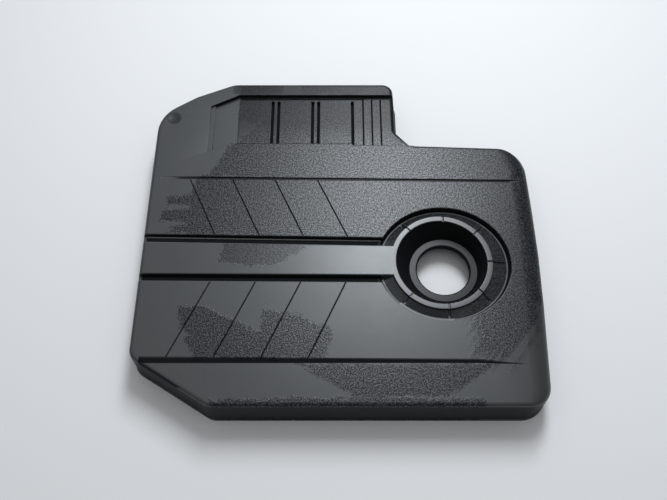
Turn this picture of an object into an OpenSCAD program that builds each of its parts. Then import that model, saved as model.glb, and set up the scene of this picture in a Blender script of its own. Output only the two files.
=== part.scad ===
// Engine cover: one moulded shell held by four rubber grommets.
// The drawing runs from the left wall (x), the front wall (y) and the top panel (z, downwards negative).
// The finished cover stands on its rim with the middle of its bounding box on the origin.

/* [Outline] */
// Widest distance from the left wall to the right wall, at the top
body_w = 504; // [480:2:540]
// Distance from the front wall to the rear wall of the tongue, at the top
body_d = 461; // [440:1:500]
// Height from the rim to the top panel
body_h = 55; // [48:1:70]
// Thickness of the moulded wall
wall = 3; // [2.4:0.1:3.4]
// How far the front left chamfer reaches along the front
front_chamfer_w = 97; // [80:1:120]
// How far the front left chamfer reaches along the left side
front_chamfer_d = 59; // [45:1:70]
// How far the right side draws in at its front corner
side_in_front = 9; // [4:0.5:12]
// How far the right side draws in at its rear corner
side_in_rear = 4; // [2:0.5:8]
// Distance of the widest point of the right side from the front wall
side_widest_y = 193; // [170:1:220]
// Width of the tongue at the rear
tongue_w = 325; // [310:1:340]
// How far the tongue stands out behind the rear edge on the right
tongue_d = 104; // [95:1:120]
// How much the rear edge on the right drops towards its corner
rear_edge_fall = 5.5; // [2:0.5:9]
// Width of the slanting step between tongue and rear edge
notch_w = 24.5; // [18:0.5:30]
// Depth of the slanting step between tongue and rear edge
notch_d = 27; // [22:0.5:34]
// How far the rear left chamfer reaches along the rear
rear_chamfer_w = 101; // [85:1:115]
// How far the rear left chamfer reaches along the left side
rear_chamfer_d = 53.5; // [45:0.5:65]
// Distance of the bend in the rear left chamfer from the left wall
rear_bend_x = 50; // [42:1:58]
// Distance of the bend in the rear left chamfer from the rear wall
rear_bend_in = 21.5; // [19:0.5:24]

/* [Corner radii] */
// Front left corner, on the left side
front_left_r = 18; // [12:1:24]
// Front left corner, on the front
front_bend_r = 16; // [12:1:24]
// Front right corner
front_right_r = 29; // [28:1:36]
// Bow of the right side
side_bow_r = 1800; // [1200:50:2000]
// Rear right corner
rear_right_r = 38; // [32:1:44]
// Hollow corner between the tongue and the slanting step
notch_r = 11; // [8:0.5:16]
// Hollow corner between the slanting step and the rear edge
notch_foot_r = 8.5; // [8:0.5:12]
// Rear right corner of the tongue
tongue_r = 14; // [10:1:20]
// Bends of the rear left chamfer
rear_bend_r = 30; // [20:1:40]
// Rear left corner
rear_left_r = 48; // [36:1:52]

/* [Edge and skirt] */
// Rounding of the top edge
edge_r = 5; // [4:0.5:6]
// Width of the wide roll along the right side
side_roll_w = 26; // [16:1:28]
// Height of the wide roll along the right side
side_roll_h = 14; // [8:1:18]
// How far the skirt leans out over its height
skirt_lean = 3; // [1:0.5:6]
// How far the skirt leans out at the side of the tongue
tongue_lean = 7; // [4:0.5:9]
// How far the bead on the rim stands out
bead_out = 1.2; // [0.6:0.1:2]
// Height of the bead on the rim
bead_h = 3; // [2:0.5:5]

/* [Filler funnel] */
// Centre of the filler hole from the left wall
funnel_x = 383; // [370:1:390]
// Centre of the filler hole from the front wall
funnel_y = 182.5; // [170:0.5:195]
// Radius of the filler hole
hole_r = 34; // [30:0.5:37]
// Radius of the funnel at its mouth
mouth_r = 57; // [52:0.5:60]
// Radius of the funnel at its floor
floor_r = 43.5; // [40:0.5:46]
// Depth of the funnel floor under the top
floor_depth = 26.5; // [20:0.5:30]
// How far the mouth lies to the left of the hole
mouth_shift = 5.4; // [0:0.2:7]
// Width of the lip around the mouth
lip_w = 7; // [5:0.5:9]
// Rounding of the lip
lip_round = 0.8; // [0.4:0.1:1.6]
// Height of the step from the lip down to its flank
lip_step = 3; // [2:0.1:4]
// Thickness of the collar around the hole
collar_wall = 3.5; // [2.5:0.5:5]
// How far the collar stands out under the funnel floor
collar_drop = 4.5; // [2:0.5:8]
// Chamfer at the top of the hole
hole_chamfer = 1.5; // [0.5:0.1:2.5]

/* [Ring groove around the funnel] */
// Half width of the groove at the panel
groove_rx = 83.7; // [82:0.1:88]
// Half depth of the groove at the panel
groove_ry = 77.3; // [75:0.1:80]
// How far the groove lies to the left of the hole
groove_shift = 2.6; // [0:0.2:5]
// How far the groove lies to the front of the hole
groove_front = 1; // [0:0.2:2]
// Depth of the groove
groove_depth = 8; // [6:0.5:9]
// Width of the level bottom of the groove
groove_floor = 2.4; // [1.5:0.1:4]
// How far the foot of the lip's flank lies to the rear of the hole
flank_shift = 0.5; // [0:0.1:2]
// Width of the slits across the lip
slit_w = 2.2; // [1:0.1:3]
// Depth of the slits across the lip
slit_depth = 1.8; // [1:0.1:2.4]

/* [Band] */
// Middle of the band at the left side, from the front wall
band_y_left = 188; // [184:0.5:192]
// Middle of the band at the funnel, from the front wall
band_y_right = 183.9; // [180:0.1:188]
// Width of the band at the left side
band_w_left = 44; // [38:1:48]
// Width of the band at the funnel
band_w_right = 40.4; // [36:0.2:46]
// Gap between band and panel on the rear side
channel_rear = 10.8; // [9:0.2:13]
// Gap between band and panel on the front side
channel_front = 9.6; // [8:0.2:13]
// Depth of both channels
channel_depth = 6; // [4:0.5:7]
// Width of the slope down from the band
band_slope = 4; // [2:0.5:5]
// Small round on the edges of channels and band
soft_edge = 0.9; // [0.4:0.1:1.4]

/* [Recess in the tongue] */
// Width of the level rim behind the recess
recess_rim = 20; // [16:0.5:24]
// Depth of the recess
recess_depth = 6; // [4:0.5:7]
// Depth of the ledge along its left side
ledge_depth = 3; // [2:0.5:4]
// Width of the ledge along its left side
ledge_w = 6; // [4:0.5:8]
// Left side of the recess, from the left wall
recess_x = 71; // [66:1:78]
// Front edge of the recess, from the rear wall
recess_d = 102; // [98:1:106]
// How far the front left corner of the recess reaches forward
recess_corner_d = 12; // [8:0.5:14]
// Distance of the bend in its front edge from its left side
recess_bend_w = 21; // [16:1:28]
// How far the front edge reaches forward at that bend
recess_bend_d = 4; // [2:0.5:6]
// Distance from the left side of the recess to the level part of its front edge
recess_level_w = 40; // [34:1:46]
// Width of the cut-off rear left corner of the recess
recess_cut_w = 39; // [32:1:44]
// Width of the field with the fine lines, from the side of the tongue
line_field_w = 59; // [50:1:64]
// How far that field reaches further forward
line_field_d = 3; // [1:0.5:5]
// Distance from the side of the tongue to the last fine line
line_side = 17.1; // [14:0.1:20]
// Distance from one fine line to the next
line_pitch = 12.2; // [10:0.1:14]
// Width of the fine lines
line_w = 2; // [1:0.1:2.6]
// How far the area left of the recess falls towards it
facet_fall = 1.8; // [0.6:0.1:2]
// Width of that falling area
facet_w = 44; // [36:1:50]
// Distance from the left side of the recess to its first bar slot
first_slot = 86; // [80:0.5:92]
// Distance from one pair of slots to the next
slot_pitch = 55.8; // [52:0.2:58]
// Distance between the two slots of a pair
slot_pair = 8.3; // [7:0.1:10]
// Width of a slot
slot_w = 4; // [3:0.1:5]
// Depth of a slot under the recess floor
slot_depth = 6; // [3:0.5:7]
// Length of the slots
slot_len = 75; // [66:1:78]
// Depth of the three fine lines at the right end
line_depth = 1.2; // [0.6:0.1:2]

/* [Grooves in the panels] */
// Distance from one slanting groove to the next
slant_pitch = 56; // [52:0.5:60]
// Angle of the slanting grooves away from straight back
slant_angle = 25; // [20:0.5:30]
// Front end of the first slanting groove behind the band, from the left wall
slant_rear_x = 52.5; // [46:0.5:60]
// Rear end of the first slanting groove in front of the band, from the left wall
slant_front_x = 89.5; // [80:0.5:98]
// Clear distance of the slanting grooves from what they run towards
slant_gap = 2; // [1:0.1:4]
// Width of a slanting groove
slant_w = 1.8; // [1:0.1:3]
// Depth of a slanting groove
slant_depth = 1.3; // [0.8:0.1:2]
// Width of the long rear groove
rear_line_w = 4.2; // [3:0.1:6]
// Depth of the long rear groove
rear_line_depth = 1.7; // [1:0.1:2]
// Left end of the long rear groove, from the rear edge
rear_line_left = 52.4; // [42:0.2:56]
// Right end of the long rear groove, from the rear edge
rear_line_right = 57.6; // [44:0.2:58]
// Distance of both ends of the long rear groove from the side walls
rear_line_gap = 13; // [8:1:20]
// Length over which the rear groove fades in
rear_line_fade = 52; // [20:1:80]
// Width of the long front groove at its left end
front_line_w = 8.5; // [6:0.1:10]
// Rear edge of the long front groove, from the front wall
front_line_y = 59; // [55:0.5:62]
// How much the rear edge of the front groove drops towards its right end
front_line_drop = 9.5; // [4:0.5:12]
// Left end of the long front groove, from the left wall
front_line_start = 13; // [9:0.5:20]
// Length over which the front groove fades out
front_line_fade = 62; // [40:1:90]
// Right end of the long front groove, from the left wall
front_line_end = 474; // [440:1:480]
// Depth of the long front groove
front_line_depth = 4; // [2:0.5:5]
// Radius of the dimple in the rear left corner
dimple_r = 9.5; // [7:0.5:12]
// Middle of the dimple, from the left wall
dimple_x = 22; // [18:1:28]
// Middle of the dimple, from the rear wall
dimple_d = 61; // [56:1:68]
// Depth of the dimple
dimple_depth = 1.3; // [0.6:0.1:1.8]

/* [Underside] */
// Thickness of the stiffening ribs
rib_t = 2; // [1.6:0.1:3]
// Height of the stiffening ribs under the panel
rib_h = 12; // [6:1:16]
// Distance from one lengthwise rib to the next
rib_pitch = 70; // [60:1:80]
// Distance of the cross ribs from the middle of the band
rib_from_band = 74; // [66:1:90]
// Front sockets, from the left wall and from the right wall
socket_front_x = 58; // [50:1:70]
// Front left socket, from the front wall
socket_front_left_y = 98; // [88:1:106]
// Front right socket, from the front wall
socket_front_right_y = 62; // [50:1:70]
// Rear left socket, from the left wall
socket_rear_left_x = 44; // [36:1:54]
// Rear left socket, from the rear wall
socket_rear_left_d = 112; // [100:1:124]
// Rear right socket, from the right wall
socket_rear_right_x = 62; // [54:1:72]
// Rear right socket, from the rear edge
socket_rear_right_d = 35; // [28:1:44]
// Outer radius of a grommet socket
socket_r = 14; // [13:0.5:17]
// Radius of the bore in a grommet socket
socket_bore_r = 10; // [8.5:0.1:11]
// Depth of the socket mouth under the top
socket_mouth = 30; // [26:1:34]
// Depth of the bore in a socket
socket_bore = 14; // [11:0.5:16]

/* [Grommets] */
// Play between grommet and socket, on the radius
grommet_play = 0.1; // [0.05:0.01:0.2]
// Radius of the flange under the socket
flange_r = 13; // [12:0.5:14]
// Thickness of the flange
flange_t = 2.5; // [1.5:0.1:4]
// Radius of the neck that the ball stud snaps through
neck_r = 4.4; // [3.5:0.1:4.7]
// Length of the neck
neck_len = 3; // [2:0.5:4]
// Radius of the ball chamber
ball_r = 5.2; // [4.9:0.1:6]

/* [Hidden] */
$fn = 72;
// Angle between the points of a corner
arc_step = 10;
// Points around the funnel's rings
oval_n = 64;
// Steps of the rounded top edge
roll_steps = 6;
// How far a cutter stands proud of what it cuts
over = 3;
// How far the walls of channels and ring groove draw in over their depth
draft = 1.2;
// How deep the inner walls are let into the panel
bury = wall / 2;

black_plastic = [0.10, 0.10, 0.11];
black_rubber = [0.05, 0.05, 0.05];

rear_edge_y = body_d - tongue_d;
recess_front_y = body_d - recess_d;
recess_rear_y = body_d - recess_rim;

// Corners of the top outline, anticlockwise from the front left: place and radius
corners = [
    [0, front_chamfer_d, front_left_r],
    [front_chamfer_w, 0, front_bend_r],
    [body_w - side_in_front, 0, front_right_r],
    [body_w, side_widest_y, side_bow_r],
    [body_w - side_in_rear, rear_edge_y - rear_edge_fall, rear_right_r],
    [tongue_w + notch_w, rear_edge_y, notch_foot_r],
    [tongue_w, rear_edge_y + notch_d, notch_r],
    [tongue_w, body_d, tongue_r],
    [rear_chamfer_w, body_d, rear_bend_r],
    [rear_bend_x, body_d - rear_bend_in, rear_bend_r],
    [0, body_d - rear_chamfer_d, rear_left_r]
];

// Sockets: place from the left wall and the front wall
sockets = [
    [socket_front_x, socket_front_left_y],
    [body_w - socket_front_x, socket_front_right_y],
    [socket_rear_left_x, body_d - socket_rear_left_d],
    [body_w - socket_rear_right_x, rear_edge_y - socket_rear_right_d]
];

function flat(v) = [v[0], v[1]];
function unit(v) = v / norm(v);
function turned(v) = [-v[1], v[0]];

// Points of one rounded corner: place and outward direction
function corner_points(i) =
    let (
        n = len(corners),
        here = flat(corners[i]),
        along_in = unit(here - flat(corners[(i + n - 1) % n])),
        along_out = unit(flat(corners[(i + 1) % n]) - here),
        turn = atan2(cross(along_in, along_out), along_in * along_out),
        // A corner takes up half of the shorter side beside it at most
        leg = min(norm(here - flat(corners[(i + n - 1) % n])), norm(flat(corners[(i + 1) % n]) - here)),
        r = min(corners[i][2], leg / 2 / tan(abs(turn) / 2)),
        side = sign(turn),
        start = here - along_in * r * tan(abs(turn) / 2),
        centre = start + turned(along_in) * side * r,
        first = atan2(-along_in[0], along_in[1]),
        steps = max(2, ceil(abs(turn) / arc_step))
    )
    [for (k = [0:steps])
        let (a = first + turn * k / steps, out = [cos(a), sin(a)])
        [each (centre + out * side * r), each out]];

outline = [for (i = [0:len(corners) - 1]) each corner_points(i)];
// A place inside from which the whole outline is seen
outline_hub = [body_w / 2, body_d / 2];

// The right side has a wide and high roll, and every other side the plain rounding
function on_right(q) = q[0] > body_w * 0.75 && q[2] > 0;
function roll_w(q) = on_right(q) ? side_roll_w : edge_r;
function roll_h(q) = edge_r + (on_right(q) ? (side_roll_h - edge_r) * q[2] * q[2] : 0);

// How far the skirt leans out at a point, at a depth under the top
function lean(q, depth) =
    let (beside_tongue = q[0] < body_w * 0.75 ? pow(max(0, q[2]), 2) : 0)
    (skirt_lean + (tongue_lean - skirt_lean) * beside_tongue) * depth / body_h;

function moved_in(q, inset, z) = [q[0] - q[2] * inset, q[1] - q[3] * inset, z];
function rolled_in(q, across, along, z) = [q[0] - q[2] * across, q[1] - q[3] * along, z];

// One ring of the outer skin on the rounded edge, which starts at the depth drop
function edge_ring(a, drop, grow) =
    [for (q = outline)
        let (depth = drop + roll_h(q) * (1 - cos(a)), out = lean(q, depth) + grow)
        rolled_in(q, roll_w(q) * (1 - sin(a)) - out, edge_r * (1 - sin(a)) - out, -depth)];

// One ring of the cavity under the rounded edge
function cavity_ring(a) =
    [for (q = outline)
        let (depth = wall + (roll_h(q) - wall) * (1 - cos(a)), in = wall - lean(q, depth))
        rolled_in(q, in + (roll_w(q) - wall) * (1 - sin(a)), in + (edge_r - wall) * (1 - sin(a)), -depth)];

function skirt_ring(depth, stand_out) =
    [for (q = outline) moved_in(q, -lean(q, depth) - stand_out, -depth)];

function oval_ring(centre, rx, ry, z) =
    [for (i = [0:oval_n - 1]) [centre[0] + rx * cos(i * 360 / oval_n), centre[1] + ry * sin(i * 360 / oval_n), z]];

function quad_ring(x0, x1, front0, front1, rear1, rear0, z) =
    [[x0, front0, z], [x1, front1, z], [x1, rear1, z], [x0, rear0, z]];

rim_points = skirt_ring(body_h, bead_out);
rim_x = [for (p = rim_points) p[0]];
rim_y = [for (p = rim_points) p[1]];
middle_x = (min(rim_x) + max(rim_x)) / 2;
middle_y = (min(rim_y) + max(rim_y)) / 2;

hole_at = [funnel_x, funnel_y];
mouth_at = [funnel_x - mouth_shift, funnel_y];
groove_at = [funnel_x - groove_shift, funnel_y - groove_front];
lip_r = mouth_r + lip_w;

// Joins rings of points, listed from the top down, into one solid; hollow outlines close towards a hub
module loft(rings, hub = undef) {
    n = len(rings[0]);
    m = len(rings);
    last = (m - 1) * n;
    hubs = hub == undef ? [] : [[each hub, rings[0][0][2]], [each hub, rings[m - 1][0][2]]];
    polyhedron(
        points = concat([for (ring = rings) each ring], hubs),
        faces = concat(
            hub == undef
                ? [[for (i = [n - 1:-1:0]) i], [for (i = [0:n - 1]) last + i]]
                : [for (i = [0:n - 1]) each [[m * n, (i + 1) % n, i], [m * n + 1, last + i, last + (i + 1) % n]]],
            [for (k = [0:m - 2], i = [0:n - 1])
                let (a = k * n + i, b = k * n + (i + 1) % n)
                each [[a, b, b + n], [a, b + n, a + n]]]
        ),
        convexity = 6
    );
}

module outer_form() {
    loft(concat(
        [for (k = [0:roll_steps]) edge_ring(90 * k / roll_steps, 0, 0)],
        [skirt_ring(body_h - bead_h - bead_out, 0),
         skirt_ring(body_h - bead_h, bead_out),
         skirt_ring(body_h, bead_out)]
    ), outline_hub);
}

// The same rounded edge, lowered to the recess floor and a hair larger than the skirt
module lowered_form() {
    steps = 3;
    loft(concat(
        [for (k = [0:steps]) edge_ring(90 * k / steps, recess_depth, 0.02)],
        [skirt_ring(recess_depth + side_roll_h + over, 0.02)]
    ), outline_hub);
}

module cavity() {
    loft(concat(
        [for (k = [0:roll_steps]) cavity_ring(90 * k / roll_steps)],
        [skirt_ring(body_h + over, -wall)]
    ), outline_hub);
}

// The band with the slopes at its sides, standing through the channel
module band_form(grow = 0) {
    x0 = -2 * over;
    x1 = mouth_at[0] - mouth_r;
    front0 = band_y_left - band_w_left / 2;
    front1 = band_y_right - band_w_right / 2;
    rear0 = band_y_left + band_w_left / 2;
    rear1 = band_y_right + band_w_right / 2;
    function ring(out, z) = quad_ring(x0, x1, front0 - out, front1 - out, rear1 + out, rear0 + out, z);
    loft([
        ring(-soft_edge, over + 1),
        ring(-soft_edge, 0),
        ring(0, -soft_edge * 0.7),
        ring(band_slope, -channel_depth - over)
    ]);
}

// The space of both channels, still with the band in it
module channel_form() {
    x0 = -over;
    x1 = groove_at[0] - groove_rx * 0.6;
    front0 = band_y_left - band_w_left / 2 - channel_front;
    front1 = band_y_right - band_w_right / 2 - channel_front;
    rear0 = band_y_left + band_w_left / 2 + channel_rear;
    rear1 = band_y_right + band_w_right / 2 + channel_rear;
    function ring(out, z) = quad_ring(x0, x1, front0 - out, front1 - out, rear1 + out, rear0 + out, z);
    loft([
        ring(soft_edge, over),
        ring(soft_edge, 0),
        ring(0, -soft_edge),
        ring(-draft, -channel_depth)
    ]);
}

// The space of the ring groove, still with the lip in it
module groove_form() {
    function ring(out, z) = oval_ring(groove_at, groove_rx + out, groove_ry + out, z);
    loft([
        ring(soft_edge, over),
        ring(soft_edge, 0),
        ring(0, -soft_edge),
        ring(-draft, -groove_depth)
    ]);
}

// The lip and its flank, standing in the ring groove; the slits need them lowered by drop
module lip_form(drop = 0) {
    flank_at = [funnel_x - groove_shift / 2, funnel_y + flank_shift];
    foot = draft + groove_floor;
    steps = 3;
    loft(concat(
        drop > 0 ? [] : [oval_ring(mouth_at, lip_r - lip_round, lip_r - lip_round, over + 1)],
        [for (k = [0:steps])
            let (r = lip_r - lip_round * (1 - sin(90 * k / steps)))
            oval_ring(mouth_at, r, r, -drop - lip_round * (1 - cos(90 * k / steps)))],
        [oval_ring(mouth_at, lip_r + draft / 4, lip_r + draft / 4, -drop - lip_step),
         oval_ring(flank_at, groove_rx - foot, groove_ry - foot, -drop - groove_depth - 0.01)]
    ));
}

module groove_and_channels() {
    difference() {
        union() {
            channel_form();
            groove_form();
        }
        band_form();
        lip_form();
    }
}

// Slits that cross the lip and its flank, every 45 degrees except where the band joins
module slits() {
    reach = groove_rx;
    difference() {
        intersection() {
            groove_form();
            for (a = [-135:45:135])
                translate([each hole_at, 0])
                    rotate([0, 0, a])
                        translate([floor_r, -slit_w / 2, -groove_depth - slit_depth / 2])
                            cube([reach, slit_w, groove_depth + over]);
        }
        lip_form(slit_depth);
    }
}

module funnel_bowl() {
    steps = 3;
    loft(concat(
        [oval_ring(mouth_at, mouth_r + lip_round, mouth_r + lip_round, over)],
        [for (k = [0:steps])
            let (r = mouth_r + lip_round * (1 - sin(90 * k / steps)))
            oval_ring(mouth_at, r, r, -lip_round * (1 - cos(90 * k / steps)))],
        [oval_ring(hole_at, floor_r, floor_r, -floor_depth)]
    ));
    translate([each hole_at, -body_h])
        cylinder(r = hole_r, h = body_h);
    translate([each hole_at, -floor_depth - hole_chamfer])
        cylinder(r1 = hole_r, r2 = hole_r + hole_chamfer * 2, h = hole_chamfer * 2);
}

// The outside of the funnel under the panel, with its collar
module funnel_body() {
    loft([
        oval_ring(mouth_at, mouth_r + wall, mouth_r + wall, -bury),
        oval_ring(hole_at, floor_r + wall, floor_r + wall, -floor_depth),
        oval_ring(hole_at, floor_r + wall, floor_r + wall, -floor_depth - wall)
    ]);
    translate([each hole_at, -floor_depth - wall - collar_drop])
        cylinder(r = hole_r + collar_wall, h = wall + collar_drop);
    for (a = [22.5:45:360])
        translate([each hole_at, 0])
            rotate([0, 0, a])
                translate([floor_r, -rib_t / 2, -floor_depth * 0.8])
                    cube([groove_rx - floor_r, rib_t, floor_depth * 0.8 - bury]);
}

// The wall under the ring groove, hollow under the lip
module groove_body() {
    difference() {
        loft([
            oval_ring(groove_at, groove_rx + wall, groove_ry + wall, -bury),
            oval_ring(groove_at, groove_rx + wall, groove_ry + wall, -groove_depth - wall)
        ]);
        loft([
            oval_ring(mouth_at, lip_r - wall, lip_r - wall, -wall),
            oval_ring(groove_at, groove_rx - 2 * wall, groove_ry - 2 * wall, -groove_depth - wall - over)
        ]);
    }
}

// The walls under both channels
module channel_bodies() {
    x0 = 0;
    x1 = groove_at[0] - groove_rx * 0.8;
    under = wall - band_slope / 2;
    rear0 = band_y_left + band_w_left / 2;
    rear1 = band_y_right + band_w_right / 2;
    front0 = band_y_left - band_w_left / 2;
    front1 = band_y_right - band_w_right / 2;
    translate([0, 0, -channel_depth - wall])
        linear_extrude(channel_depth + wall - bury) {
            polygon([[x0, rear0 - under], [x1, rear1 - under],
                     [x1, rear1 + channel_rear + wall], [x0, rear0 + channel_rear + wall]]);
            polygon([[x0, front0 + under], [x1, front1 + under],
                     [x1, front1 - channel_front - wall], [x0, front0 - channel_front - wall]]);
        }
}

// Plan of the recess, grown by out on its closed sides
module recess_plan(out = 0, left = 0) {
    field_x = tongue_w - line_field_w;
    right = tongue_w + notch_w;
    polygon([
        [recess_x + left - out, recess_front_y - recess_corner_d - out],
        [recess_x + recess_bend_w, recess_front_y - recess_bend_d - out],
        [recess_x + recess_level_w, recess_front_y - out],
        [field_x, recess_front_y - out],
        [field_x + line_field_d, recess_front_y - line_field_d - out],
        [right - foot_step, recess_front_y - line_field_d - out],
        [right + line_field_d, recess_front_y + foot_step - out],
        [right + notch_w, recess_front_y + notch_w],
        [right + notch_w, recess_rear_y + out],
        [recess_x + recess_cut_w, recess_rear_y + out],
        [recess_x + left - out, recess_rear_y - (recess_cut_w - left) / 2 + out]
    ]);
}

// What is cut away over the recess floor, with the floor's own rounded edge beside the tongue
module recess_cut() {
    difference() {
        translate([0, 0, -recess_depth - edge_r - 1])
            linear_extrude(recess_depth + edge_r + 1 + over)
                recess_plan(left = ledge_w);
        lowered_form();
    }
    translate([0, 0, -ledge_depth])
        linear_extrude(ledge_depth + over)
            intersection() {
                recess_plan();
                square([recess_x + 3 * ledge_w, body_d]);
            }
}

// Places of the left side of each bar slot
slot_x = [for (i = [0:1]) each [0, slot_pair] + [1, 1] * (recess_x + first_slot + i * slot_pitch - slot_w / 2)];
last_slot_x = recess_x + first_slot + 2 * slot_pitch - slot_w / 2;
line_x = [for (i = [0:2]) tongue_w - line_side - i * line_pitch - line_w / 2];
foot_step = 1.2;

module bar_slots() {
    for (x = concat(slot_x, [last_slot_x]))
        translate([x, recess_front_y, -recess_depth - slot_depth])
            cube([slot_w, slot_len, slot_depth + over]);
    for (x = line_x)
        translate([x, recess_front_y - line_field_d, -recess_depth - line_depth])
            cube([line_w, slot_len + 2 * line_field_d, line_depth + over]);
    // The fine edge line of the first window
    translate([recess_x + recess_level_w - line_w / 4, recess_front_y, -recess_depth - line_depth / 2])
        cube([line_w / 2, slot_len, line_depth / 2 + over]);
    // The fine lines in front of the rear wall and behind the front edge
    field_x = tongue_w - line_field_w;
    first_x = recess_x + recess_level_w;
    for (line = [[first_x, recess_rear_y - wall - foot_step, tongue_w - first_x - recess_level_w],
                 [first_x, recess_front_y + wall, field_x - first_x],
                 [field_x, recess_front_y + wall - line_field_d, tongue_w - field_x - edge_r]])
        translate([line[0], line[1], -recess_depth - line_depth])
            cube([line[2], foot_step, line_depth + over]);
}

module recess_bodies() {
    translate([0, 0, -recess_depth - wall])
        linear_extrude(recess_depth + wall - bury)
            recess_plan(wall);
    for (x = concat([slot_x[0], slot_x[2]], [last_slot_x - slot_pair / 2]))
        translate([x - wall, recess_front_y - wall, -recess_depth - slot_depth - wall])
            cube([slot_pair + slot_w + 2 * wall, slot_len + 2 * wall, slot_depth + wall]);
}

// The area left of the recess falls gently towards its front corner
module side_facet() {
    end_x = recess_x + ledge_w / 2;
    low = [end_x, recess_front_y - recess_corner_d];
    left = [recess_x - facet_w, recess_front_y - facet_w * 0.75];
    rear = [end_x, recess_rear_y - recess_cut_w / 2];
    beyond = 1.3;
    function past(p) = low + (p - low) * beyond;
    loft([
        [[each past(left), over], [each low, over], [each past(rear), over]],
        [[each past(left), facet_fall * (beyond - 1)], [each low, -facet_fall], [each past(rear), facet_fall * (beyond - 1)]]
    ]);
}

// One straight groove with sloping sides, from one point to another
module straight_groove(from, to, width, depth) {
    run = to - from;
    translate([each from, 0])
        rotate([0, 0, atan2(run[1], run[0])])
            rotate([90, 0, 90])
                linear_extrude(norm(run))
                    polygon([[-width / 2, 0], [-width * 0.15, -depth], [width * 0.15, -depth], [width / 2, 0],
                             [width / 2, over], [-width / 2, over]]);
}

// Slanting grooves on both sides of the band, mirrored about it
module slanting_grooves() {
    rear_from = rear_edge_y - rear_line_left - rear_line_w / 2 - slant_gap / 2;
    rear_to = band_y_right + band_w_right / 2 + channel_rear + slant_gap;
    front_from = band_y_left - band_w_left / 2 - channel_front - slant_gap;
    front_to = front_line_y - slant_gap;
    for (i = [0:3]) {
        rear_x = slant_rear_x + i * slant_pitch;
        front_x = slant_front_x + i * slant_pitch;
        straight_groove([rear_x, rear_from], [rear_x + tan(slant_angle) * (rear_from - rear_to), rear_to],
                        slant_w, slant_depth);
        straight_groove([front_x, front_from], [front_x - tan(slant_angle) * (front_from - front_to), front_to],
                        slant_w, slant_depth);
    }
}

// The long front groove: a long slope towards the front and a short rise, fading out at the right
module front_line() {
    function ring(x, y, width, depth) =
        [[x, y, -depth * 0.02], [x, y - width * 0.7, -depth], [x, y - width, 0], [x, y - width, over], [x, y, over]];
    left = ring(front_line_start, front_line_y, front_line_w, front_line_depth);
    right = ring(front_line_end - front_line_fade, front_line_y - front_line_drop / 3,
                 front_line_w * 0.6, front_line_depth * 0.7);
    end = ring(front_line_end, front_line_y - front_line_drop, 0.5, 0.1);
    loft([left, right, end]);
}

// The wall under the long front groove
module front_line_body() {
    reach = front_line_w + front_line_drop / 2 + wall;
    translate([0, front_line_y - reach, -front_line_depth - wall])
        cube([front_line_end, reach + wall, front_line_depth + wall - bury]);
}

// The long rear groove, which fades in at the left
module rear_line() {
    left_y = rear_edge_y - rear_line_left;
    right_y = rear_edge_y - rear_line_right;
    function ring(x, y, depth) =
        [[x, y + rear_line_w / 2, 0], [x, y + rear_line_w * 0.3, -depth], [x, y - rear_line_w * 0.3, -depth],
         [x, y - rear_line_w / 2, 0], [x, y - rear_line_w / 2, over], [x, y + rear_line_w / 2, over]];
    loft([
        ring(rear_line_gap, left_y, 0.1),
        ring(rear_line_gap + rear_line_fade, left_y, rear_line_depth),
        ring(body_w - rear_line_gap, right_y, rear_line_depth)
    ]);
}

module dimple() {
    ball = (dimple_r * dimple_r + dimple_depth * dimple_depth) / (2 * dimple_depth);
    translate([dimple_x, body_d - dimple_d, ball - dimple_depth])
        sphere(r = ball);
}

module ribs() {
    rows = [sockets[1][1], band_y_left - rib_from_band, band_y_left + rib_from_band, sockets[3][1]];
    columns = concat([for (i = [0:3]) sockets[0][0] + i * rib_pitch], [sockets[1][0]]);
    for (y = rows)
        translate([0, y - rib_t / 2, -wall - rib_h])
            cube([body_w, rib_t, wall + rib_h - bury]);
    for (x = columns)
        translate([x - rib_t / 2, 0, -wall - rib_h])
            cube([rib_t, body_d, wall + rib_h - bury]);
}

module socket_bodies() {
    for (p = sockets)
        translate([each p, -socket_mouth]) {
            cylinder(r = socket_r, h = socket_mouth - bury);
            for (a = [45:90:360])
                rotate([0, 0, a])
                    translate([0, -rib_t / 2, socket_mouth - wall - rib_h * 1.6])
                        cube([socket_r * 1.8, rib_t, rib_h * 1.6 + bury]);
        }
}

module socket_bores() {
    for (p = sockets)
        translate([each p, -socket_mouth - over])
            cylinder(r = socket_bore_r, h = socket_bore + over);
}

module cover_shell() {
    color(black_plastic)
        translate([-middle_x, -middle_y, body_h])
            difference() {
                outer_form();
                difference() {
                    cavity();
                    union() {
                        funnel_body();
                        groove_body();
                        channel_bodies();
                        front_line_body();
                        recess_bodies();
                        ribs();
                        socket_bodies();
                    }
                }
                groove_and_channels();
                slits();
                funnel_bowl();
                recess_cut();
                bar_slots();
                side_facet();
                slanting_grooves();
                front_line();
                rear_line();
                dimple();
                socket_bores();
            }
}

// A rubber grommet seated in the socket with the given number
module grommet(number) {
    body_r = socket_bore_r - grommet_play;
    mouth_z = body_h - socket_mouth;
    top_z = mouth_z + socket_bore;
    lead_in = 2;
    neck_z = mouth_z - flange_t + lead_in;
    ball_low = neck_z + neck_len;
    ball_z = ball_low + sqrt(ball_r * ball_r - neck_r * neck_r);
    lowest = asin((ball_low - ball_z) / ball_r);
    color(black_rubber)
        translate([sockets[number][0] - middle_x, sockets[number][1] - middle_y, 0])
            rotate_extrude()
                polygon(concat(
                    [[neck_r + lead_in, mouth_z - flange_t], [flange_r, mouth_z - flange_t], [flange_r, mouth_z],
                     [body_r, mouth_z], [body_r, top_z], [0, top_z]],
                    [for (a = [90:-10:lowest + 5]) [ball_r * cos(a), ball_z + ball_r * sin(a)]],
                    [[neck_r, ball_low], [neck_r, neck_z]]
                ));
}

module grommet_front_left() {
    grommet(0);
}

module grommet_front_right() {
    grommet(1);
}

module grommet_rear_left() {
    grommet(2);
}

module grommet_rear_right() {
    grommet(3);
}

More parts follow.
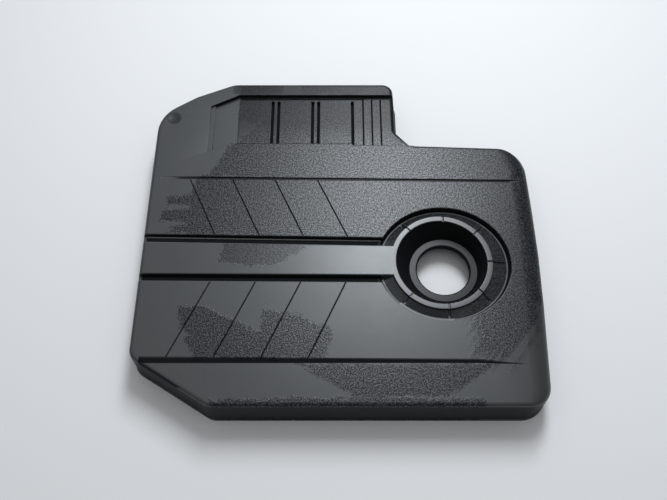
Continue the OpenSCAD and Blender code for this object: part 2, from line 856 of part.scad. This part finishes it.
cover_shell();
grommet_front_left();
grommet_front_right();
grommet_rear_left();
grommet_rear_right();
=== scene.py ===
"""Looks of the engine cover: its camera, its light and the finishes of plastic and rubber."""

import math

import bpy
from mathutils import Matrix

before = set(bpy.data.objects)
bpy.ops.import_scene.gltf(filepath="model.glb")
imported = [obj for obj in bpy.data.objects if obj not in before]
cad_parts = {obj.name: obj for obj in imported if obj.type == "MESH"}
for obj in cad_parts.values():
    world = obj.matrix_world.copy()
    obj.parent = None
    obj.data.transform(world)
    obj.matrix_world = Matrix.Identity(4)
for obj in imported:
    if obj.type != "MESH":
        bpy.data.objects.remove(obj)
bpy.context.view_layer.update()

# Corner of the drawing in the part's frame: the left wall and the front wall, in millimetres
LEFT_WALL = -251.419
FRONT_WALL = -230.5
TOP = 55.0

# Places in the drawing, in millimetres from the left wall and the front wall
BAND_MIDDLE = (188.0, 183.9)
MOUTH = (377.6, 182.5)
MOUTH_RADIUS = 57.0
LIP_WIDTH = 7.0
GROOVE = (380.4, 181.5)
GROOVE_RADII = (83.7, 77.3)
DIMPLE = (21.5, 401.5)
DIMPLE_RADIUS = 11.5
RECESS_FRONT = 358.8
FIRST_WINDOW = 110.3

# Soft edges of areas in the drawing, in millimetres, each from where the area is 0 to where it is 1
BAND_EDGE, BAND_END = (22.5, 21.0), (330, 322)
LIP_TOP = (-1.6, -0.8)
BOWL_FLOOR = (-25.5, -26.2)
RING_DEPTH = (-0.9, -1.4), (-14, -13)
CHANNEL_DEPTH = (-0.9, -2.0), (-12, -11)
CHANNELS_MIDDLE, CHANNELS_EDGE = 186, (36, 35)
CHANNELS_LEFT, CHANNELS_RIGHT = (1.5, 4), (334, 322)
SLOT_DEPTH = (-6.5, -7.0), (-16, -15)
RECESS_SIDES = (104, 108), (336, 333), (348, 352), (442, 440)
LINE_DEPTH = (-0.5, -1.0), (-7, -6)
LINE_SIDES = (316, 313), (20, 24), (10, 14), (478, 474)

# The same for the ring groove as shares of its radii, and for faces by the upward part of their direction
RING_EDGE, RING_WALL, RING_FOOT = (1.03, 1.02), (0.968, 0.975), 0.958
STEEP, NO_FILM, LEVEL = (0.35, 0.1), (0.4, 0.05), (0.55, 0.9)

# The painted highlight line at the far foot of the channel: from the band's middle line, its drift and half its
# width
FOOT_FROM_BAND, FOOT_DRIFT, FOOT_HALF = 31.0, 0.0056, 0.9

# Areas in the drawing: the wiped right side and a smudge in the first window
WIPED_SIDE = [(415, 60), (443, 54), (472, 78), (492, 114), (510, 160), (510, 310), (400, 310), (400, 150)]
SMUDGE = [(108, 374), (128, 377), (140, 396), (110, 402)]

# Colours that more than one surface has, and the camera: its place in metres and its tilt in degrees
# Near black of the painted shade on deep and steep surfaces, and of the rubbed smooth patches
SHADE_AND_WEAR_BLACK = (0.004, 0.0045, 0.005)
CAMERA_PLACE = (-0.0094, -0.427, 0.8639)
CAMERA_TILT = 26.0
LENS, SENSOR = 38.54, 36.0

# Facets that meet at less than this many degrees are shaded as one face
CORNER_ANGLE = 28.0
WELD = 0.000005


class Field:
    """A value over a surface: a node's socket that Python's own operators work on."""

    def __init__(self, tree, socket=None):
        self.tree = tree
        self.socket = socket

    def node(self, kind, settings=None, inputs=None, output=0):
        """Adds a node of the given kind, with its settings first, and returns one of its outputs."""
        node = self.tree.nodes.new(kind)
        for name, value in (settings or {}).items():
            setattr(node, name, value)
        for name, value in (inputs or {}).items():
            if isinstance(value, Field):
                self.tree.links.new(value.socket, node.inputs[name])
            else:
                node.inputs[name].default_value = value
        return Field(self.tree, node.outputs[output])

    def maths(self, operation, first, second=0.0):
        return self.node("ShaderNodeMath", {"operation": operation}, {0: first, 1: second})

    def __add__(self, other):
        return self.maths("ADD", self, other)

    def __sub__(self, other):
        return self.maths("SUBTRACT", self, other)

    def __rsub__(self, other):
        return self.maths("SUBTRACT", other, self)

    def __mul__(self, other):
        return self.maths("MULTIPLY", self, other)

    def __truediv__(self, other):
        return self.maths("DIVIDE", self, other)

    def __abs__(self):
        return self.maths("ABSOLUTE", self)

    def __and__(self, other):
        return self.maths("MINIMUM", self, other)

    def __or__(self, other):
        return self.maths("MAXIMUM", self, other)

    __radd__ = __add__
    __rmul__ = __mul__

    def root(self):
        return self.maths("SQRT", self)

    def rise(self, low, high):
        """Goes smoothly from 0 at low to 1 at high, where low may be the larger of the two."""
        if low > high:
            return 1 - self.rise(high, low)
        return self.node("ShaderNodeMapRange", {"interpolation_type": "SMOOTHSTEP"},
                         {"Value": self, "From Min": low, "From Max": high})


def colour(red, green, blue):
    return (red, green, blue, 1.0)


def mix(tree, share, first, second):
    """Blends two colours by a share from 0 to 1."""
    return Field(tree).node("ShaderNodeMix", {"data_type": "RGBA"}, {0: share, 6: first, 7: second}, 2)


def finish(name):
    """Starts a material and returns it with its nodes, its shader and the point in the drawing."""
    material = bpy.data.materials.new(name)
    material.use_nodes = True
    tree = material.node_tree
    shader = tree.nodes["Principled BSDF"]
    place = Field(tree).node("ShaderNodeTexCoord", output=3)
    drawing = Field(tree).node("ShaderNodeVectorMath", {"operation": "MULTIPLY_ADD"},
                               {0: place, 1: (1000.0,) * 3, 2: (-LEFT_WALL, -FRONT_WALL, -TOP)})
    return material, tree, shader, drawing


def feed(tree, shader, name, value):
    """Links a field to one of the shader's inputs."""
    tree.links.new(value.socket, shader.inputs[name])


def noise(tree, point, size, detail=2.0, roughness=0.5):
    """Soft noise with spots of about the given size in millimetres, from 0 to 1."""
    return Field(tree).node("ShaderNodeTexNoise", None,
                            {"Vector": point, "Scale": 1.0 / size, "Detail": detail, "Roughness": roughness})


def parts(tree, vector):
    """Splits a vector into its three numbers."""
    first = Field(tree).node("ShaderNodeSeparateXYZ", None, {0: vector})
    return [first] + [Field(tree, first.socket.node.outputs[i]) for i in (1, 2)]


def inside(x, y, corners):
    """Distance inside a convex area, in millimetres, given its corners anticlockwise."""
    depth = None
    for (x0, y0), (x1, y1) in zip(corners, corners[1:] + corners[:1]):
        length = math.hypot(x1 - x0, y1 - y0)
        across, along = (y0 - y1) / length, (x1 - x0) / length
        edge = (x - x0) * across + (y - y0) * along
        depth = edge if depth is None else depth & edge
    return depth


def within(value, limits):
    """Share from 0 to 1 of what lies between two soft edges."""
    first, second = limits
    return value.rise(*first) * value.rise(*second)


def around(x, y, centre, radii):
    """Distance from a centre as a share of an ellipse's radii."""
    across = (x - centre[0]) / radii[0]
    along = (y - centre[1]) / radii[1]
    return (across * across + along * along).root()


def rubbed_areas(x, y):
    """Distance inside the areas where the film is rubbed off, in millimetres."""
    areas = (
        # Strip behind the long rear groove, the recess and its rear rim
        [(77, 306), (495, 300), (495, 353), (345, 358), (104, 362), (94, 343)],
        [(111, 357), (335, 355), (335, 441), (111, 441)],
        [(100, 441), (173, 441), (173, 465), (100, 465)],
        [(198, 441), (330, 441), (330, 465), (198, 465)],
        # Panel behind the band, with three fingers to the left
        [(50, 221), (500, 208), (500, 306), (61, 309)],
        [(26, 264), (78, 259), (78, 284), (26, 274)],
        [(18, 240), (74, 234), (74, 260), (22, 257)],
        [(31, 223), (74, 219), (74, 238), (36, 234)],
        # Patch on the band
        [(101, 183), (140, 177), (172, 179), (213, 207), (213, 212), (101, 212)],
        # Panel in front of the band
        [(80, 57), (225, 57), (215, 98), (60, 84)],
        [(58, 92), (95, 70), (150, 75), (150, 92), (82, 124), (54, 120)],
        [(150, 57), (235, 57), (240, 92), (200, 112), (157, 118)],
        # Front strip and its rounded edge
        [(270, 10), (373, 12), (433, 50), (203, 50)],
        [(100, -8), (415, -8), (415, 8), (330, 12), (100, 8)],
    )
    depth = None
    for corners in areas:
        area = inside(x, y, corners)
        depth = area if depth is None else depth | area
    return depth


def rubbed_off(tree, drawing, wander, faces_up):
    """Share of the film that is rubbed off, from 0 to 1. What doesn't face up has no film."""
    x, y, _ = parts(tree, drawing)
    ragged = noise(tree, drawing, 5.0, 4.0, 0.7) - 0.5
    fibre = noise(tree, drawing, 1.6, 2.0, 0.6) - 0.5
    edge = wander * 18.0 + ragged * 16.0 + fibre * 6.0
    # The right side was wiped on a slant, which leaves streaks
    turned = Field(tree).node("ShaderNodeVectorRotate", {"rotation_type": "Z_AXIS"},
                              {"Vector": drawing, "Angle": math.radians(38.0)})
    along_wipe = Field(tree).node("ShaderNodeVectorMath", {"operation": "MULTIPLY"},
                                  {0: turned, 1: (1.0, 0.06, 1.0)})
    streaks = noise(tree, along_wipe, 8.0, 2.0, 0.5) - 0.5
    wiped = (inside(x, y, WIPED_SIDE) + wander * 24.0 + streaks * 50.0).rise(-14.0, 12.0)
    smudge = (inside(x, y, SMUDGE) + edge).rise(-1.0, 2.0)
    bare = (rubbed_areas(x, y) + edge).rise(-2.0, 2.0) | wiped
    return bare * (1 - smudge * 0.7) | faces_up.rise(*NO_FILM)


def black_plastic():
    """Grained black moulding with a thin grey film on what faces up, rubbed off in patches."""
    material, tree, shader, drawing = finish("black_plastic")
    x, y, z = parts(tree, drawing)
    _, faces_back, faces_up = parts(tree, Field(tree).node("ShaderNodeNewGeometry", output=1))
    level = faces_up.rise(*LEVEL)
    wander = noise(tree, drawing, 24.0, 4.0, 0.65) - 0.5

    # Smooth surfaces: the band, the lip and the bowl
    band_y = BAND_MIDDLE[0] + (BAND_MIDDLE[1] - BAND_MIDDLE[0]) * x / MOUTH[0]
    on_band = abs(y - band_y).rise(*BAND_EDGE) * x.rise(*BAND_END)
    to_mouth = around(x, y, MOUTH, (1.0, 1.0))
    half_lip = LIP_WIDTH / 2
    from_lip = abs(to_mouth - (MOUTH_RADIUS + half_lip))
    on_lip = from_lip.rise(half_lip + 0.4, half_lip - 0.2) * z.rise(*LIP_TOP)
    in_bowl = to_mouth.rise(MOUTH_RADIUS + 0.5, MOUTH_RADIUS - 0.5)
    bowl_floor = in_bowl * z.rise(*BOWL_FLOOR) * level
    smooth = on_band | on_lip | in_bowl
    bare = rubbed_off(tree, drawing, wander, faces_up) * (1 - on_lip) * (1 - in_bowl)

    # Painted shade in what lies deep and steep: the channels, slots, fine lines and the steep walls are darkened
    # towards near-black
    to_groove = around(x, y, GROOVE, GROOVE_RADII)
    beside_band = x.rise(*CHANNELS_RIGHT) * abs(y - CHANNELS_MIDDLE).rise(*CHANNELS_EDGE)
    in_ring = to_groove.rise(*RING_EDGE)
    in_channel = within(z, CHANNEL_DEPTH) * beside_band * (1 - in_ring) * x.rise(*CHANNELS_LEFT)
    left, right, near, far = RECESS_SIDES
    in_recess = x.rise(*left) * x.rise(*right) * y.rise(*near) * y.rise(*far)
    in_slot = within(z, SLOT_DEPTH) * in_recess
    far, near, left, right = LINE_SIDES
    in_line = (within(z, LINE_DEPTH) * (1 - in_ring) * y.rise(*far) * y.rise(*near)
               * x.rise(*left) * x.rise(*right))
    recess_line = (abs(y - RECESS_FRONT).rise(1.1, 0.5) * x.rise(100, 104) * x.rise(336, 334)
                   | abs(x - FIRST_WINDOW).rise(1.0, 0.5) * y.rise(358, 360) * y.rise(434, 432))
    flank = within(z, RING_DEPTH) * in_ring * (1 - in_bowl)
    outer_wall = flank * to_groove.rise(*RING_WALL)
    wall = faces_up.rise(*STEEP)
    dimple = around(x, y, DIMPLE, (DIMPLE_RADIUS, DIMPLE_RADIUS)).rise(1.0, 0.72) * level
    far_right = x.rise(425, 480) * level
    recess = y.rise(352, 400) * x.rise(108, 112) * level
    # Painted shade: each is darkened towards near-black by its own share, also the line along the recess front,
    # the ring's outer wall, the bowl, the dimple, the recess and the far right side
    shade_and_pits = (in_channel | in_slot | in_line * 0.85 | recess_line * 0.6 | outer_wall
            | in_bowl * (1 - bowl_floor * 0.38) | wall * 0.75 | dimple * 0.5 | recess * 0.48
            | far_right * 0.24)
    # Painted highlights: light lines at the far foot of the channel and of the ring, and on the edges that face
    # away, towards the lamp
    foot_y = band_y + FOOT_FROM_BAND - x * FOOT_DRIFT
    foot_line = (abs(y - foot_y) - FOOT_HALF).rise(0.3, -0.3) * in_channel * z.rise(-5.2, -5.7) * x.rise(312, 308)
    ring_line = abs(to_groove - RING_FOOT).rise(0.012, 0.005) * z.rise(-6.4, -7.0)
    edge_line = z.rise(-1.1, -0.85) * z.rise(-0.05, -0.2) * (beside_band | in_ring) * faces_back.rise(0.1, 0.3)
    painted_highlight = foot_line | ring_line | edge_line

    grain = noise(tree, drawing, 1.5, 2.0, 0.6)
    fleck = noise(tree, drawing, 2.8, 1.0, 0.5)
    texture = grain * 0.8 + fleck * 0.25
    grained = bare * (1 - smooth * 0.3) * 0.88 + 0.12 * (1 - smooth)
    shade_and_pits = shade_and_pits | texture.rise(0.58, 0.47) * grained * 0.64
    corner = Field(tree).node("ShaderNodeBevel", {"samples": 6}, {"Radius": 0.0007})
    bump = Field(tree).node("ShaderNodeBump", None,
                            {"Height": texture * grained, "Strength": 1.0, "Distance": 0.00028, "Normal": corner})

    clouds = noise(tree, drawing, 60.0, 3.0, 0.6)
    film = mix(tree, clouds, colour(0.038, 0.043, 0.043), colour(0.050, 0.051, 0.052))
    black = mix(tree, texture.rise(0.49, 0.62), colour(0.001, 0.001, 0.0015), colour(0.042, 0.046, 0.050))
    top = mix(tree, bare, film, black)
    polished = mix(tree, texture.rise(0.46, 0.60), colour(*SHADE_AND_WEAR_BLACK), colour(0.024, 0.026, 0.028))
    top = mix(tree, smooth * bare, top, polished)
    ring_floor = mix(tree, grain.rise(0.4, 0.6), colour(0.008, 0.009, 0.010), colour(0.024, 0.027, 0.028))
    top = mix(tree, flank, top, ring_floor)
    # Painted highlight: the lip is painted a lighter grey than the black around it
    top = mix(tree, on_lip, top, colour(0.055, 0.055, 0.057))
    top = mix(tree, bowl_floor, top, colour(0.018, 0.018, 0.017))
    # Painted highlight: the light lines are painted pale grey
    top = mix(tree, painted_highlight, top, colour(0.150, 0.155, 0.158))
    feed(tree, shader, "Base Color", top)
    feed(tree, shader, "Roughness", 0.36 - bare * 0.05 + wander * 0.06 - smooth * (1 - bare) * 0.05)
    feed(tree, shader, "Normal", bump)

    # Painted shade: the darkened share blends into this near-black shader, except on the painted highlight lines,
    # and so do the pits of the grain, which hold no gloss
    shade_and_pits_shader = Field(tree).node("ShaderNodeBsdfPrincipled", None,
                            {"Base Color": colour(*SHADE_AND_WEAR_BLACK), "Roughness": 0.8, "Specular IOR Level": 0.12,
                             "Normal": corner})
    shiny = Field(tree, shader.outputs[0])
    both = Field(tree).node("ShaderNodeMixShader", None, {0: shade_and_pits * (1 - painted_highlight), 1: shiny, 2: shade_and_pits_shader})
    tree.links.new(both.socket, tree.nodes["Material Output"].inputs["Surface"])
    return material


def black_rubber():
    """Dull rubber of the grommets with a fine bloom."""
    material, tree, shader, drawing = finish("black_rubber")
    bloom = noise(tree, drawing, 3.0, 3.0, 0.6)
    feed(tree, shader, "Base Color", mix(tree, bloom, colour(0.018, 0.018, 0.018), colour(0.034, 0.034, 0.033)))
    feed(tree, shader, "Roughness", 0.62 + bloom * 0.2)
    bump = Field(tree).node("ShaderNodeBump", None,
                            {"Height": noise(tree, drawing, 0.4), "Strength": 0.3, "Distance": 0.0001})
    feed(tree, shader, "Normal", bump)
    return material


def soften(piece):
    """Lets the light run smoothly over the facets of a rounded face and keeps its corners."""
    group = bpy.data.node_groups.new("soft_faces", "GeometryNodeTree")
    for way in ("INPUT", "OUTPUT"):
        group.interface.new_socket("Geometry", in_out=way, socket_type="NodeSocketGeometry")
    start = group.nodes.new("NodeGroupInput")
    welded = group.nodes.new("GeometryNodeMergeByDistance")
    welded.inputs["Distance"].default_value = WELD
    all_smooth = group.nodes.new("GeometryNodeSetShadeSmooth")
    angle = group.nodes.new("GeometryNodeInputMeshEdgeAngle")
    steep = group.nodes.new("FunctionNodeCompare")
    steep.inputs[1].default_value = math.radians(CORNER_ANGLE)
    corners = group.nodes.new("GeometryNodeSetShadeSmooth")
    corners.domain = "EDGE"
    corners.inputs["Shade Smooth"].default_value = False
    end = group.nodes.new("NodeGroupOutput")
    for source, target in ((start.outputs[0], welded.inputs[0]), (welded.outputs[0], all_smooth.inputs[0]),
                           (all_smooth.outputs[0], corners.inputs[0]), (angle.outputs[0], steep.inputs[0]),
                           (steep.outputs[0], corners.inputs["Selection"]), (corners.outputs[0], end.inputs[0])):
        group.links.new(source, target)
    piece.modifiers.new("soft_faces", "NODES").node_group = group
    weights = piece.modifiers.new("even_faces", "WEIGHTED_NORMAL")
    weights.keep_sharp = True


def pale_floor():
    """The level floor under the cover, which is not part of it."""
    bpy.ops.mesh.primitive_plane_add(size=40.0, location=(0, 0, 0))
    floor = bpy.context.active_object
    floor.name = "floor"
    material = bpy.data.materials.new("floor_paint")
    material.use_nodes = True
    shader = material.node_tree.nodes["Principled BSDF"]
    shader.inputs["Base Color"].default_value = colour(0.80, 0.80, 0.80)
    shader.inputs["Roughness"].default_value = 0.9
    floor.data.materials.append(material)


def camera():
    """The camera at the place where the photo was taken from."""
    data = bpy.data.cameras.new("camera")
    data.sensor_width = SENSOR
    data.lens = LENS
    data.clip_start = 0.01
    eye = bpy.data.objects.new("camera", data)
    eye.location = CAMERA_PLACE
    eye.rotation_euler = (math.radians(CAMERA_TILT), 0.0, 0.0)
    bpy.context.scene.collection.objects.link(eye)
    bpy.context.scene.camera = eye


def lamp(name, place, target, size, power, tint):
    """A soft oblong lamp at a place, which looks at a target."""
    data = bpy.data.lights.new(name, "AREA")
    data.shape = "RECTANGLE"
    data.size, data.size_y = size
    data.energy = power
    data.color = tint
    light = bpy.data.objects.new(name, data)
    light.location = place
    gap = [t - p for t, p in zip(target, place)]
    flat = math.hypot(gap[0], gap[1])
    light.rotation_euler = (math.atan2(flat, -gap[2]), 0.0, math.atan2(gap[1], gap[0]) - math.pi / 2)
    bpy.context.scene.collection.objects.link(light)


def room_light():
    """The pale light of a room, one near lamp and a wide one over the far side."""
    world = bpy.data.worlds.new("room")
    world.use_nodes = True
    background = world.node_tree.nodes["Background"]
    background.inputs["Color"].default_value = colour(0.94, 0.96, 1.0)
    background.inputs["Strength"].default_value = 0.22
    bpy.context.scene.world = world
    lamp("ceiling_lamp", place=(0.177, 0.789, 1.355), target=(0.06, 0.04, 0.05),
         size=(0.36, 0.75), power=18.0, tint=(0.88, 0.94, 1.0))
    lamp("ceiling", place=(0.0, 0.9, 2.4), target=(0.0, 0.9, 0.0),
         size=(4.4, 4.0), power=26.0, tint=(1.0, 1.0, 1.0))


plastic = black_plastic()
rubber = black_rubber()
for name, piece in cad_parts.items():
    piece.data.materials.clear()
    piece.data.materials.append(plastic if name == "cover_shell" else rubber)
    if name == "cover_shell":
        soften(piece)

pale_floor()
camera()
room_light()
bpy.context.scene.view_settings.view_transform = "Standard"
